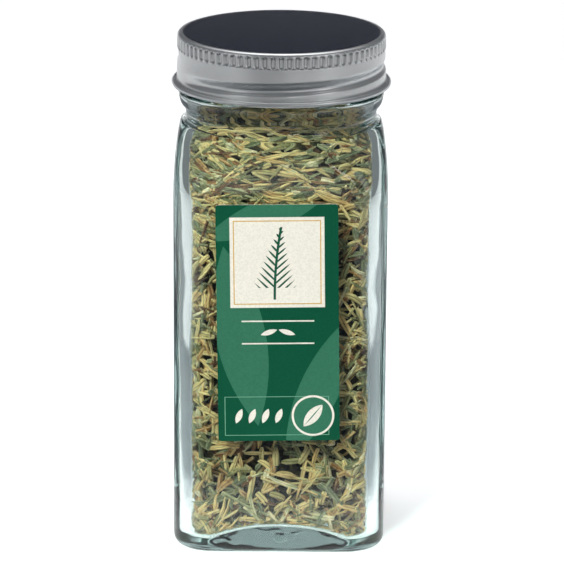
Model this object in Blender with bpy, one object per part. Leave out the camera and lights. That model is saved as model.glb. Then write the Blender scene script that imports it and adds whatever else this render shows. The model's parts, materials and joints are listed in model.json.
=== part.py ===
"""A square glass spice jar with a screw lid, filled with dried rosemary leaves.

Metres, +Z up. The jar stands on z = 0 with its axis on Z, and its label faces -Y.
The lid is a rolled metal cap for a 43 mm one-turn neck. Turned counter-clockwise, seen from above, it climbs
by LEAD each turn, and it is free of the glass thread after a turn and a quarter.
"""

import math
import random

import bmesh
import bpy
import numpy as np
from mathutils import Vector

MM = 0.001

# Glass body: a rounded square that stands on a flat ring round a shallow hollow.
BODY_HALF = 22.5 * MM
CORNER_R = 6.5 * MM
WALL = 2.9 * MM
INNER_CORNER_R = 5.7 * MM
HEEL_R = 3.2 * MM
FOOT_IN = 2.4 * MM
FOOT_WIDTH = 3.2 * MM
FOOT_HOLLOW = 3.2 * MM
FLOOR_CORNER_Z = 2.2 * MM
FLOOR_CENTRE_Z = 9.9 * MM
FLOOR_BOW_R = 38 * MM
FLOOR_HEEL_R = 2.0 * MM
SHOULDER_Z, SHOULDER_TOP_Z = 77.5 * MM, 90.3 * MM
SHOULDER_TOP_HALF = 21.0 * MM
BORE_FOOT_Z = 89.0 * MM

# Neck: waist, carrying ring, thread land and rim.
WAIST_R = 20.25 * MM
WAIST_Z = 92.2 * MM
RING_R = 21.85 * MM
RING_Z = 96.2 * MM
LAND_R = 19.9 * MM
RIM_Z = 107.7 * MM
BORE_R = 17.6 * MM

# Screw thread, right-handed. The lid's rolled thread pulls up against the underside of the glass one.
LEAD = 25.4 / 6 * MM
THREAD_R = 21.15 * MM
THREAD_HALF_WIDTH = 0.75 * MM
ROLL_Z_AT_LEFT = 100.1 * MM
ROLL_FROM_DEG, ROLL_TO_DEG = 196.0, 556.0
GLASS_THREAD_RISE = 1.55 * MM
GLASS_THREAD_FROM_DEG, GLASS_THREAD_TO_DEG = 141.0, 486.0
GLASS_THREAD_SINK_DEG, GLASS_THREAD_STEP_DEG = 24.0, 7.5

# Lid: a rolled cap with a fluted band, a rolled thread and a curled hem.
TOP_Z = 109.2 * MM
LID_R = 21.85 * MM
LID_WALL = 0.45 * MM
FLUTE_CREST_R = 22.05 * MM
FLUTE_VALLEY_R = 21.68 * MM
FLUTES = 80
FLUTE_TOP_Z, FLUTE_FOOT_Z = 108.6 * MM, 106.1 * MM
ROLL_DEPTH, ROLL_HALF_WIDTH = 0.7 * MM, 1.15 * MM
ROLL_SINK_DEG = 30.0
HEM_R = 22.63 * MM
HEM_Z = 98.55 * MM
HEM_WIRE_R = 0.62 * MM

# Sealing disc in the lid, label on the front face, herb in the jar.
GAP = 0.1 * MM
LINER_R = 20.6 * MM
LABEL_WIDTH, LABEL_HEIGHT, LABEL_THICK = 25.6 * MM, 51.6 * MM, 0.2 * MM
LABEL_BOTTOM_Z = 25.8 * MM
LABEL_CENTRE_X, LABEL_TILT_DEG = -0.4 * MM, 0.9
LABEL_CORNER_R = 0.6 * MM
HERB_GAP = 0.3 * MM
HERB_TOP_Z = 88.6 * MM
LOOSE_LEAVES, STEM_BITS = 40, 6
LOOSE_LOW_Z, LOOSE_HIGH_Z = 89.9 * MM, 97.6 * MM
LEAF_GAP = 0.35 * MM

POINTS_PER_QUARTER = 12
RING_POINTS = 4 * POINTS_PER_QUARTER


def clear_scene():
    for obj in list(bpy.data.objects):
        bpy.data.objects.remove(obj, do_unlink=True)


def material(name, colour, roughness, metallic=0.0, transmission=0.0):
    mat = bpy.data.materials.new(name)
    mat.use_nodes = True
    shader = mat.node_tree.nodes["Principled BSDF"]
    shader.inputs["Base Color"].default_value = (*colour, 1.0)
    shader.inputs["Roughness"].default_value = roughness
    shader.inputs["Metallic"].default_value = metallic
    shader.inputs["Transmission Weight"].default_value = transmission
    return mat


def solid(name, rings, mat):
    """Skins a list of closed rings, first to last, and fans the two end rings shut.

    A ring is a list of points. Two neighbours hold the same number of points, or one holds twice as many.
    """
    mesh = bmesh.new()
    loops = [[mesh.verts.new(point) for point in ring] for ring in rings]
    for low, high in zip(loops, loops[1:]):
        skin(mesh, low, high)
    for loop, outwards in ((loops[0], False), (loops[-1], True)):
        centre = mesh.verts.new(sum((v.co for v in loop), Vector()) / len(loop))
        for a, b in zip(loop, loop[1:] + loop[:1]):
            mesh.faces.new((a, b, centre) if outwards else (b, a, centre))
    bmesh.ops.recalc_face_normals(mesh, faces=mesh.faces)
    return finished(name, mesh, mat)


def skin(mesh, low, high):
    """Joins two rings of equal count with quads, or a ring to one of twice its count with triangles."""
    n, m = len(low), len(high)
    if n == m:
        for i in range(n):
            j = (i + 1) % n
            mesh.faces.new((low[i], low[j], high[j], high[i]))
        return
    few, many = (low, high) if n < m else (high, low)
    for i, a in enumerate(few):
        b = few[(i + 1) % len(few)]
        first, middle, last = many[2 * i], many[2 * i + 1], many[(2 * i + 2) % len(many)]
        for face in ((a, middle, first), (a, b, middle), (b, last, middle)):
            mesh.faces.new(face)


def finished(name, mesh, mat):
    data = bpy.data.meshes.new(name)
    mesh.to_mesh(data)
    mesh.free()
    data.shade_smooth()
    data.set_sharp_from_angle(angle=math.radians(35))
    data.materials.append(mat)
    obj = bpy.data.objects.new(name, data)
    bpy.context.scene.collection.objects.link(obj)
    return obj


def section(half_width, corner_r, z):
    """A rounded square. Its points fan round each corner, and spread evenly as it becomes a circle."""
    core = half_width - corner_r
    roundness = min(1.0, corner_r / half_width) ** 4
    points = []
    for quarter in range(4):
        for i in range(POINTS_PER_QUARTER):
            on_corner = i / (POINTS_PER_QUARTER - 1)
            on_circle = (i + 0.5) / POINTS_PER_QUARTER
            turn = quarter + on_corner + (on_circle - on_corner) * roundness
            side_x = 1 if quarter in (0, 3) else -1
            side_y = 1 if quarter in (0, 1) else -1
            angle = turn * math.pi / 2
            points.append(
                Vector((
                    side_x * core + corner_r * math.cos(angle),
                    side_y * core + corner_r * math.sin(angle),
                    z,
                ))
            )
    return points


def circle(radius, z, count=RING_POINTS, start=0.5):
    """A ring whose points match those of a round section."""
    turns = [(i + start) / count * math.tau for i in range(count)]
    return [Vector((radius * math.cos(t), radius * math.sin(t), z)) for t in turns]


def quarter_arc(steps):
    """(cosine, sine) pairs from 0 to 90 degrees, both ends included."""
    return [(math.cos(i / steps * math.pi / 2), math.sin(i / steps * math.pi / 2)) for i in range(steps + 1)]


# ---------------------------------------------------------------- glass jar

def shoulder(half_low, half_high, corner_low, z_low, z_high, steps):
    """Rings that turn the square body into the round neck. The corners lean in long before the sides do."""
    rings = []
    for i in range(steps + 1):
        t = i / steps
        height = math.sin(t * math.pi / 2)
        side = half_low + (half_high - half_low) * (1 - math.cos(t * math.pi / 2)) ** 1.2
        corner = corner_low + (side - corner_low) * (t * t * (3 - 2 * t))
        rings.append(section(side, min(corner, side), z_low + (z_high - z_low) * height))
    return rings


def outer_glass():
    foot_half = BODY_HALF - FOOT_IN
    hollow_half, hollow_corner = foot_half - FOOT_WIDTH, CORNER_R - 0.5 * FOOT_WIDTH
    rings = []
    for share in (0.3, 0.6, 0.85):
        half, corner = hollow_half * share, hollow_corner * share
        rings.append(section(half, corner, FOOT_HOLLOW * (1 - share * share)))
    rings += [section(hollow_half, hollow_corner, 0.0), section(foot_half, CORNER_R, 0.0)]
    for cos, sin in quarter_arc(5)[1:]:
        rings.append(section(foot_half + FOOT_IN * sin, CORNER_R, HEEL_R * (1 - cos)))
    rings += shoulder(BODY_HALF, SHOULDER_TOP_HALF, CORNER_R, SHOULDER_Z, SHOULDER_TOP_Z, 6)
    for radius, z in (
        (20.45 * MM, 91.2 * MM),
        (WAIST_R, WAIST_Z),
        (20.7 * MM, 93.4 * MM),
        (21.3 * MM, 94.2 * MM),
        (21.55 * MM, 94.9 * MM),
        (RING_R, RING_Z),
        (21.6 * MM, 96.9 * MM),
        (20.9 * MM, 97.3 * MM),
        (LAND_R, 97.7 * MM),
        (LAND_R, RIM_Z - 0.6 * MM),
        (LAND_R - 0.5 * MM, RIM_Z),
    ):
        rings.append(circle(radius, z))
    return rings


def floor_height(x, y):
    """The glass floor swells up to a low dome in the middle."""
    return max(FLOOR_CORNER_Z, FLOOR_CENTRE_Z - (x * x + y * y) / (2 * FLOOR_BOW_R))


def cavity(inset):
    """Rings of the space inside the glass, from mouth to floor, shrunk by inset."""
    half = BODY_HALF - WALL - inset
    lift = FLOOR_CORNER_Z + inset
    rings = [circle(BORE_R - inset, 95.0 * MM), circle(BORE_R - inset, 91.8 * MM)]
    inner_shoulder = shoulder(half, BORE_R - inset, INNER_CORNER_R, SHOULDER_Z - 1 * MM, BORE_FOOT_Z, 5)
    rings += list(reversed(inner_shoulder))
    for cos, sin in quarter_arc(3):
        side, height = half - FLOOR_HEEL_R * (1 - cos), lift + FLOOR_HEEL_R * (1 - sin)
        rings.append(section(side, INNER_CORNER_R, height))
    rings += [section(half * share, half * share * 0.5, lift) for share in (0.6, 0.3)]
    for ring in rings[-6:]:
        for point in ring:
            point.z += floor_height(point.x, point.y) - FLOOR_CORNER_Z
    return rings


def helix_ridge(name, radii, z_at_left, start_deg, end_deg, profile):
    """A ridge along the thread. profile holds (share of the way from radii[0] to radii[1], height) points.

    It sinks back to radii[0] over the last GLASS_THREAD_SINK_DEG at each end.
    """
    base, peak = radii
    rings = []
    for i in range(int((end_deg - start_deg) / GLASS_THREAD_STEP_DEG) + 1):
        degrees = start_deg + i * GLASS_THREAD_STEP_DEG
        to_end = min(degrees - start_deg, end_deg - degrees)
        fade = max(0.04, min(1.0, to_end / GLASS_THREAD_SINK_DEG))
        angle = math.radians(degrees)
        z = z_at_left + LEAD * (degrees - 180.0) / 360.0
        rings.append([
            Vector((
                (base + (peak - base) * reach * fade) * math.cos(angle),
                (base + (peak - base) * reach * fade) * math.sin(angle),
                z + height * (0.35 + 0.65 * fade),
            ))
            for reach, height in profile
        ])
    return solid(name, rings, bpy.data.materials["helper"])


def helper(obj):
    obj.hide_render = True
    obj.display_type = "WIRE"
    return obj


def boolean(obj, operation, other):
    modifier = obj.modifiers.new(other.name, "BOOLEAN")
    modifier.operation = operation
    modifier.object = helper(other)
    modifier.solver = "EXACT"


def make_jar():
    glass = material("glass", (0.86, 0.93, 0.90), 0.03, transmission=1.0)
    inside = [circle(BORE_R + 0.5 * MM, RIM_Z), circle(BORE_R, RIM_Z - 0.5 * MM)] + cavity(0.0)
    jar = solid("glass_jar", outer_glass() + inside, glass)
    wide, crest = THREAD_HALF_WIDTH, 0.4 * THREAD_HALF_WIDTH
    thread = helix_ridge(
        "glass_thread_guide", (LAND_R, THREAD_R), ROLL_Z_AT_LEFT + GLASS_THREAD_RISE,
        GLASS_THREAD_FROM_DEG, GLASS_THREAD_TO_DEG,
        [(-0.5, -wide), (1.0, -crest), (1.0, crest), (-0.5, wide)],
    )
    boolean(jar, "UNION", thread)


# ---------------------------------------------------------------- lid

def rolled(radius, z):
    """A ring of the lid's wall, pressed in where the rolled thread passes through it."""
    ring = []
    for i in range(FLUTES):
        angle = i / FLUTES * math.tau
        pressed = 0.0
        for degrees in (math.degrees(angle), math.degrees(angle) + 360.0):
            to_end = min(degrees - ROLL_FROM_DEG, ROLL_TO_DEG - degrees)
            fade = min(1.0, to_end / ROLL_SINK_DEG)
            offset = abs(z - ROLL_Z_AT_LEFT - LEAD * (degrees - 180.0) / 360.0) / ROLL_HALF_WIDTH
            if fade > 0 and offset < 1:
                pressed = max(pressed, fade * math.cos(offset * math.pi / 2) ** 2)
        reach = radius - ROLL_DEPTH * pressed
        ring.append(Vector((reach * math.cos(angle), reach * math.sin(angle), z)))
    return ring


def fluted(z):
    """A ring of the grip band, with one crest and one valley for each flute."""
    ring = []
    for i in range(2 * FLUTES):
        angle = i / (2 * FLUTES) * math.tau
        reach = FLUTE_VALLEY_R if i % 2 else FLUTE_CREST_R
        ring.append(Vector((reach * math.cos(angle), reach * math.sin(angle), z)))
    return ring


def plain(radius, z):
    return circle(radius, z, FLUTES, 0.0)


def make_lid():
    inner = LID_R - LID_WALL
    wall_top, wall_foot = FLUTE_FOOT_Z - 0.2 * MM, HEM_Z + 0.95 * MM
    rings = [plain(10 * MM, TOP_Z), plain(20.95 * MM, TOP_Z), plain(21.55 * MM, TOP_Z - 0.14 * MM)]
    rings += [plain(LID_R, FLUTE_TOP_Z + 0.1 * MM), fluted(FLUTE_TOP_Z), fluted(FLUTE_FOOT_Z)]
    rings += [rolled(LID_R, z) for z in np.linspace(wall_top, wall_foot, 15)]
    rings.append(plain(LID_R + 0.15 * MM, HEM_Z + 0.7 * MM))
    for degrees in (80, 40, 0, -40, -80, -120, -160, -200):
        angle = math.radians(degrees)
        rings.append(plain(HEM_R + HEM_WIRE_R * math.cos(angle), HEM_Z + HEM_WIRE_R * math.sin(angle)))
    rings.append(plain(inner + 0.1 * MM, HEM_Z + 0.5 * MM))
    rings += [rolled(inner, z) for z in np.linspace(wall_foot, wall_top, 11)]
    rings += [plain(inner, TOP_Z - 1.1 * MM), plain(inner - 0.5 * MM, TOP_Z - LID_WALL)]
    rings.append(plain(10 * MM, TOP_Z - LID_WALL))
    solid("lid", rings, material("lid_metal", (0.62, 0.63, 0.64), 0.32, metallic=1.0))


def make_liner():
    top = TOP_Z - LID_WALL - GAP
    bottom = RIM_Z + GAP
    foam = material("liner", (0.90, 0.90, 0.87), 0.7)
    solid("lid_liner", [circle(LINER_R, bottom), circle(LINER_R, top)], foam)


# ---------------------------------------------------------------- label

def make_label():
    """The label, stuck on a little askew: it leans to the left at its top."""
    front = -BODY_HALF - GAP - LABEL_THICK
    centre_z = LABEL_BOTTOM_Z + LABEL_HEIGHT / 2
    tilt = math.radians(LABEL_TILT_DEG)
    rings = []
    for y in (front, front + LABEL_THICK):
        ring = []
        for quarter in range(4):
            core_x = (1 if quarter in (0, 3) else -1) * (LABEL_WIDTH / 2 - LABEL_CORNER_R)
            core_z = (1 if quarter in (0, 1) else -1) * (LABEL_HEIGHT / 2 - LABEL_CORNER_R)
            for cos, sin in quarter_arc(3):
                turn = math.atan2(sin, cos) + quarter * math.pi / 2
                across = core_x + LABEL_CORNER_R * math.cos(turn)
                up = core_z + LABEL_CORNER_R * math.sin(turn)
                x = LABEL_CENTRE_X + across * math.cos(tilt) - up * math.sin(tilt)
                z = centre_z + across * math.sin(tilt) + up * math.cos(tilt)
                ring.append(Vector((x, y, z)))
        rings.append(ring)
    solid("front_label", rings, material("label_paper", (0.02, 0.13, 0.06), 0.45))


# ---------------------------------------------------------------- herb

def make_bulk():
    """The settled herb below the neck, as one soft body that fills the glass."""
    rings = [ring for ring in cavity(HERB_GAP) if ring[0].z < HERB_TOP_Z]
    mound = [circle(9 * MM, HERB_TOP_Z), circle(16.6 * MM, HERB_TOP_Z - 0.5 * MM)]
    solid("rosemary_fill", mound + rings, material("dried_rosemary", (0.30, 0.31, 0.15), 0.85))


def spine(centre, direction, side, length, bend, count=7):
    """Points along a bent leaf: an arc through centre that sags by bend at its ends."""
    points = []
    for i in range(count):
        s = 2 * i / (count - 1) - 1
        points.append(centre + direction * (s * length / 2) + side * (bend * (0.5 - s * s)))
    return points


def free_places(count, half_width, rng, taken):
    """Finds places in the neck where a leaf or stem keeps LEAF_GAP to all that are there already."""
    found = []
    while len(found) < count:
        length = rng.uniform(8.5, 14.5) * MM
        yaw = rng.uniform(0, math.tau)
        direction = Vector((math.cos(yaw), math.sin(yaw), rng.gauss(0, 0.13))).normalized()
        side = direction.cross(Vector((0, 0, 1))).normalized()
        side = (side * math.cos(rng.uniform(-0.6, 0.6)) + Vector((0, 0, 0.4))).normalized()
        radius, around = (BORE_R - 3 * MM) * math.sqrt(rng.random()), rng.uniform(0, math.tau)
        z = rng.uniform(LOOSE_LOW_Z, LOOSE_HIGH_Z)
        centre = Vector((radius * math.cos(around), radius * math.sin(around), z))
        line = spine(centre, direction, side, length, rng.uniform(-1.2, 1.2) * MM)
        points = np.array(line)
        reach = half_width + LEAF_GAP
        low, high = LOOSE_LOW_Z - 0.2 * MM, LOOSE_HIGH_Z + 0.6 * MM
        inside = np.hypot(points[:, 0], points[:, 1]).max() < BORE_R - reach
        level = points[:, 2].min() > low and points[:, 2].max() < high
        if not (inside and level):
            continue
        if taken and distance(dense(points), taken) < 2 * half_width + LEAF_GAP:
            continue
        taken.append(dense(points))
        found.append(line)
    return found


def dense(points):
    """The line again with three points for each one, so that distances between lines are true to 0.1 mm."""
    at = np.linspace(0, len(points) - 1, 3 * len(points))
    return np.stack([np.interp(at, range(len(points)), points[:, k]) for k in range(3)], axis=1)


def distance(points, others):
    every = np.concatenate(others)
    return np.linalg.norm(points[:, None] - every[None], axis=2).min()


def blade(name, line, width, thickness, end_share, mat):
    """A leaf or stem bit: a six-sided section along line, narrower at its two ends."""
    section_points = [(math.cos(a), math.sin(a)) for a in (i * math.pi / 3 for i in range(6))]
    last = len(line) - 1
    rings = []
    for i in range(0, last + 1, 2):
        tangent = (line[min(i + 1, last)] - line[max(i - 1, 0)]).normalized()
        across = tangent.cross(Vector((0, 0, 1))).normalized()
        up = across.cross(tangent)
        s = abs(2 * i / last - 1)
        size = 1 - (1 - end_share) * s ** 2.5
        rings.append([
            line[i] + across * (cos * size * width / 2) + up * (sin * size * thickness / 2)
            for cos, sin in section_points
        ])
    return solid(name, rings, mat)


def make_loose_herb():
    """Single leaves and stem bits that lie in the neck, above the settled herb."""
    rng = random.Random(11)
    leaf = material("dried_leaf", (0.36, 0.37, 0.18), 0.8)
    stem = material("dried_stem", (0.30, 0.19, 0.10), 0.85)
    taken = []
    stems = free_places(STEM_BITS, 0.8 * MM, rng, taken)
    leaves = free_places(LOOSE_LEAVES, 0.8 * MM, rng, taken)
    for number, line in enumerate(leaves, 1):
        width, thickness = rng.uniform(1.25, 1.55) * MM, rng.uniform(0.75, 0.95) * MM
        blade(f"rosemary_leaf_{number:02d}", line, width, thickness, 0.35, leaf)
    for number, line in enumerate(stems, 1):
        blade(f"stem_bit_{number}", line, 1.2 * MM, 1.15 * MM, 0.85, stem)


clear_scene()
material("helper", (0.5, 0.5, 0.5), 0.5)
make_jar()
make_lid()
make_liner()
make_label()
make_bulk()
make_loose_herb()
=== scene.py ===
"""A square glass spice jar with a screw lid, filled with dried rosemary leaves: its looks."""

import json
import math
import random

import bmesh
import bpy
import numpy as np
from mathutils import Matrix, Vector, noise

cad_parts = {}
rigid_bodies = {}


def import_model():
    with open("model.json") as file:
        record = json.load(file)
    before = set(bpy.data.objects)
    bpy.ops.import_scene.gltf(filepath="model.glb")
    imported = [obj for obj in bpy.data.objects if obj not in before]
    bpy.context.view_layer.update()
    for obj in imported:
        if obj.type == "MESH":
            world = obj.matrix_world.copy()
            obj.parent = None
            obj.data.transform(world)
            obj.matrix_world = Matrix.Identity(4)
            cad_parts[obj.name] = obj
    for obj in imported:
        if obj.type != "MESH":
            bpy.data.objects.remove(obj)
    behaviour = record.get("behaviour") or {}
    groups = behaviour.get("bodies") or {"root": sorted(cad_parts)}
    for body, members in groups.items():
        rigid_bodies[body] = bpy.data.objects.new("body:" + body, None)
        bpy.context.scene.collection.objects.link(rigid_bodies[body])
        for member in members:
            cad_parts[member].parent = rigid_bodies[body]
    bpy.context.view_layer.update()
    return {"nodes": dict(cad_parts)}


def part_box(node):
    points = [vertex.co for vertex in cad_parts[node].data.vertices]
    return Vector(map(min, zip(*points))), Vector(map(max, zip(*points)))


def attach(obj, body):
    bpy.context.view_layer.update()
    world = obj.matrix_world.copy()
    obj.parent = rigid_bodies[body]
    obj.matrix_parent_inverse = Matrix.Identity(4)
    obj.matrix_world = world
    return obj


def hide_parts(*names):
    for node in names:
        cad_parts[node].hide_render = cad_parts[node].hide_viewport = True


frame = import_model()


# ---------------------------------------------------------------- camera and studio
# A long lens looks down at the jar, which stands on a pale floor. A gridded softbox hangs over it, a second
# lights the floor behind, a small key comes from the upper left, and low boxes stand left, right, in front
# and behind. A grey board and a dark panel, unseen by the camera, give the glass and lid their dark tones.

MM = 0.001
CAMERA_PLACE = (0.4 * MM, -865 * MM, 302.5 * MM)
CAMERA_DEGREES_DOWN, CAMERA_DEGREES_ROLLED = 16.02, 0.37
BOUNCES = 32

camera = bpy.data.objects.new("camera", bpy.data.cameras.new("camera"))
camera.data.sensor_width = 36.0
camera.data.lens = 267.6
camera.data.clip_start = 0.05
pitch = Matrix.Rotation(math.radians(90 - CAMERA_DEGREES_DOWN), 4, "X")
roll = Matrix.Rotation(math.radians(CAMERA_DEGREES_ROLLED), 4, "Z")
camera.matrix_world = Matrix.Translation(CAMERA_PLACE) @ (pitch @ roll)
bpy.context.scene.collection.objects.link(camera)
bpy.context.scene.camera = camera
bpy.context.scene.view_settings.view_transform = "Standard"


class Value:
    """One output in a tree of nodes. Arithmetic on it adds the nodes that work it out."""

    def __init__(self, nodes, socket):
        self.nodes = nodes
        self.socket = socket

    def math(self, operation, *others):
        vector = self.socket.type == "VECTOR"
        kind = "ShaderNodeVectorMath" if vector else "ShaderNodeMath"
        return self.nodes.add(kind, {"operation": operation}, dict(enumerate((self, *others))))

    def scaled(self, factor):
        return self.nodes.add("ShaderNodeVectorMath", {"operation": "SCALE"}, {0: self, "Scale": factor})

    def smooth(self, low, high):
        """0 below low and 1 above high, with a soft step between them. high may be the lower one."""
        span = {"Value": self, "From Min": low, "From Max": high}
        return self.nodes.add("ShaderNodeMapRange", {"interpolation_type": "SMOOTHSTEP"}, span)

    def axis(self, name):
        return self.nodes.add("ShaderNodeSeparateXYZ", {}, {0: self}, name)

    def from_z_axis(self):
        flat = self * (1.0, 1.0, 0.0)
        return self.nodes.add("ShaderNodeVectorMath", {"operation": "LENGTH"}, {0: flat}, "Value")

    def __add__(self, other):
        return self.math("ADD", other)

    def __sub__(self, other):
        return self.math("SUBTRACT", other)

    def __rsub__(self, other):
        return self.math("MULTIPLY", -1.0).math("ADD", other)

    def __mul__(self, other):
        return self.math("MULTIPLY", other)

    def __truediv__(self, other):
        return self.math("DIVIDE", other)

    __radd__ = __add__
    __rmul__ = __mul__


class Nodes:
    """Adds nodes to the tree of a material, of the world or of a geometry modifier."""

    def __init__(self, tree):
        self.tree = tree

    def add(self, kind, settings, inputs, output=0):
        """A node of that kind, with its settings made first. Returns one of its outputs as a Value."""
        node = self.tree.nodes.new(kind)
        for name, setting in settings.items():
            if name == "stops":
                self.set_stops(node.color_ramp, setting)
            else:
                setattr(node, name, setting)
        for key, given in inputs.items():
            socket = self.pick(node.inputs, key)
            if isinstance(given, Value):
                self.tree.links.new(given.socket, socket)
            else:
                socket.default_value = given
        return Value(self, self.pick(node.outputs, output))

    @staticmethod
    def pick(sockets, key):
        if isinstance(key, int):
            return sockets[key]
        return next(socket for socket in sockets if socket.name == key and socket.enabled)

    @staticmethod
    def set_stops(ramp, stops):
        while len(ramp.elements) < len(stops):
            ramp.elements.new(1.0)
        for element, (place, colour) in zip(ramp.elements, stops):
            element.position = place
            element.color = colour

    def noise(self, place, scale, detail=2.0):
        inputs = {"Vector": place, "Scale": scale, "Detail": detail}
        return self.add("ShaderNodeTexNoise", {}, inputs, "Fac")

    def mix(self, share, first, second, blend="MIX"):
        settings = {"data_type": "RGBA", "blend_type": blend}
        return self.add("ShaderNodeMix", settings, {"Factor": share, "A": first, "B": second}, "Result")

    def position(self):
        return self.add("ShaderNodeTexCoord", {}, {}, "Object")


def tint(code):
    """A colour from its screen hex code, as the linear red, green, blue and alpha that a shader takes."""
    levels = [int(code[i:i + 2], 16) / 255 for i in (0, 2, 4)]
    return (*[v / 12.92 if v <= 0.04045 else ((v + 0.055) / 1.055) ** 2.4 for v in levels], 1.0)


class Finish(Nodes):
    """A material built round one Principled shader."""

    def __init__(self, name, **sockets):
        self.material = bpy.data.materials.new(name)
        self.material.use_nodes = True
        super().__init__(self.material.node_tree)
        self.shader = self.tree.nodes["Principled BSDF"]
        for socket, given in sockets.items():
            self.set(socket.replace("_", " "), given)

    def set(self, name, given):
        socket = self.shader.inputs[name]
        if isinstance(given, Value):
            self.tree.links.new(given.socket, socket)
        else:
            socket.default_value = given

    def bump(self, height, distance, strength=1.0):
        inputs = {"Height": height, "Distance": distance, "Strength": strength}
        self.set("Normal", self.add("ShaderNodeBump", {}, inputs, "Normal"))


def softbox(name, place, aim, size, power, spread=180.0):
    """A rectangular lamp that points at aim. spread is the angle, in degrees, that its grid lets out."""
    lamp = bpy.data.lights.new(name, "AREA")
    lamp.shape = "RECTANGLE"
    lamp.size, lamp.size_y = size
    lamp.energy = power
    lamp.spread = math.radians(spread)
    box = bpy.data.objects.new(name, lamp)
    direction = Vector(aim) - Vector(place)
    box.matrix_world = Matrix.Translation(place) @ direction.to_track_quat("-Z", "Y").to_matrix().to_4x4()
    bpy.context.scene.collection.objects.link(box)


softbox("overhead_softbox", (0.0, 0.14, 0.62), (0.0, 0.13, 0.0), (0.6, 0.36), 0.5, 80.0)
softbox("backdrop_softbox", (0.0, 1.1, 1.0), (0.0, 1.0, 0.0), (1.6, 1.0), 4.5, 90.0)
softbox("key_softbox", (-0.28, -0.52, 0.62), (0.0, 0.0, 0.045), (0.16, 0.16), 0.19, 24.0)
softbox("left_softbox", (-0.72, -0.62, 0.36), (0.0, 0.0, 0.06), (0.32, 0.5), 0.6)
softbox("right_softbox", (0.72, -0.62, 0.36), (0.0, 0.0, 0.06), (0.32, 0.5), 0.85)
softbox("front_softbox", (0.28, -0.95, 0.22), (0.0, 0.0, 0.08), (0.22, 0.16), 0.35)
softbox("back_softbox", (0.0, 0.42, 0.1), (0.0, 0.0, 0.1), (0.5, 0.14), 0.17)
bpy.data.objects["key_softbox"].visible_glossy = False
for lamp_name in ("key_softbox", "left_softbox", "right_softbox", "front_softbox"):
    bpy.data.objects[lamp_name].visible_transmission = False

# With fewer bounces, light would be lost in the thick edges of the glass.
bpy.context.scene.cycles.max_bounces = BOUNCES
bpy.context.scene.cycles.transmission_bounces = BOUNCES
bpy.context.scene.cycles.glossy_bounces = BOUNCES

world = bpy.data.worlds.new("studio")
world.use_nodes = True
bpy.context.scene.world = world
world.node_tree.nodes["Background"].inputs["Color"].default_value = tint("e9edf2")
world.node_tree.nodes["Background"].inputs["Strength"].default_value = 0.28

bpy.ops.mesh.primitive_plane_add(size=8.0)
floor = bpy.context.object
floor.name = "floor"
floor_finish = Finish("pale_floor", Roughness=0.65)
floor_grain = floor_finish.noise(floor_finish.position(), 40.0)
floor_finish.set("Base Color", floor_finish.mix(floor_grain, tint("f3f4f5"), tint("f7f7f8")))
floor_finish.set("Emission Color", tint("ffffff"))
floor_finish.set("Emission Strength", 0.34)
floor.data.materials.append(floor_finish.material)

# The board fades out at its edges, and along a strip that runs back from just in front of the jar.
bpy.ops.mesh.primitive_plane_add(size=1.0, location=(0.0, 0.0, 0.0005))
board = bpy.context.object
board.name = "grey_board"
board_finish = Finish("grey_board", Roughness=0.8)
on_board = board_finish.position()
aside, ahead = on_board.axis("X").math("ABSOLUTE"), on_board.axis("Y")
strip = ahead.smooth(-0.085, -0.045) * (1 - aside.smooth(0.036, 0.070))
board_area = (1 - aside.smooth(0.155, 0.19)) * ahead.smooth(-0.37, -0.32) * (1 - ahead.smooth(0.32, 0.37))
board_finish.set("Base Color", board_finish.mix(ahead.smooth(-0.08, -0.03), tint("54585d"), tint("a2a7ab")))
board_finish.set("Alpha", board_area * (1 - strip))
board.data.materials.append(board_finish.material)
board.visible_camera = False
board.visible_shadow = False

bpy.ops.mesh.primitive_plane_add(size=1.0, location=(0.0, 0.9, 0.44), rotation=(math.radians(90), 0.0, 0.0))
dark_panel = bpy.context.object
dark_panel.name = "dark_panel"
panel_finish = Finish("dark_panel", Base_Color=tint("000000"), Roughness=1.0, Emission_Color=tint("404967"))
panel_finish.set("Emission Strength", 0.22)
dark_panel.data.materials.append(panel_finish.material)
dark_panel.visible_camera = False
dark_panel.visible_shadow = False
dark_panel.visible_diffuse = False


# ---------------------------------------------------------------- glass jar
# Clear soda-lime glass, blown in a mould: a square body with rounded corners, shoulders that draw in to a
# round neck, a carrying ring, and a one-turn thread for the lid. The inside was never touched by a mould,
# so it is a little wavy. The floor is thick, domed inside and hollow underneath.

jar_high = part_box("glass_jar")[1]
BODY_HALF = jar_high.x
RIM_Z = jar_high.z
CORNER_R, INNER_CORNER_TRIM = 6.5 * MM, 0.8 * MM
WALL = 2.9 * MM
HEEL_R, FOOT_IN, FOOT_WIDTH, FOOT_HOLLOW = 3.2 * MM, 2.4 * MM, 3.2 * MM, 3.2 * MM
FOOT_ARCH = 0.12 * MM
FLOOR_CORNER_Z, FLOOR_CENTRE_Z, FLOOR_BOW_R, FLOOR_HEEL_R = 2.2 * MM, 9.9 * MM, 38 * MM, 2.0 * MM
SHOULDER_Z, SHOULDER_TOP_Z, SHOULDER_TOP_HALF = 77.5 * MM, 90.3 * MM, 21.0 * MM
NECK_PROFILE = (
    (21.0 * MM, 90.3 * MM),
    (20.45 * MM, 91.2 * MM),
    (20.25 * MM, 92.2 * MM),
    (20.7 * MM, 93.4 * MM),
    (21.3 * MM, 94.2 * MM),
    (21.55 * MM, 94.9 * MM),
    (21.85 * MM, 96.2 * MM),
    (21.6 * MM, 96.9 * MM),
    (20.9 * MM, 97.3 * MM),
    (19.9 * MM, 97.7 * MM),
)
LAND_R, LAND_FOOT_Z, LAND_STEP = 19.9 * MM, 98.0 * MM, 0.24 * MM
RIM_R = 0.55 * MM
BORE_R, BORE_FOOT_Z, INNER_SHOULDER_TOP_Z = 17.6 * MM, 90.4 * MM, 89.0 * MM
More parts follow.
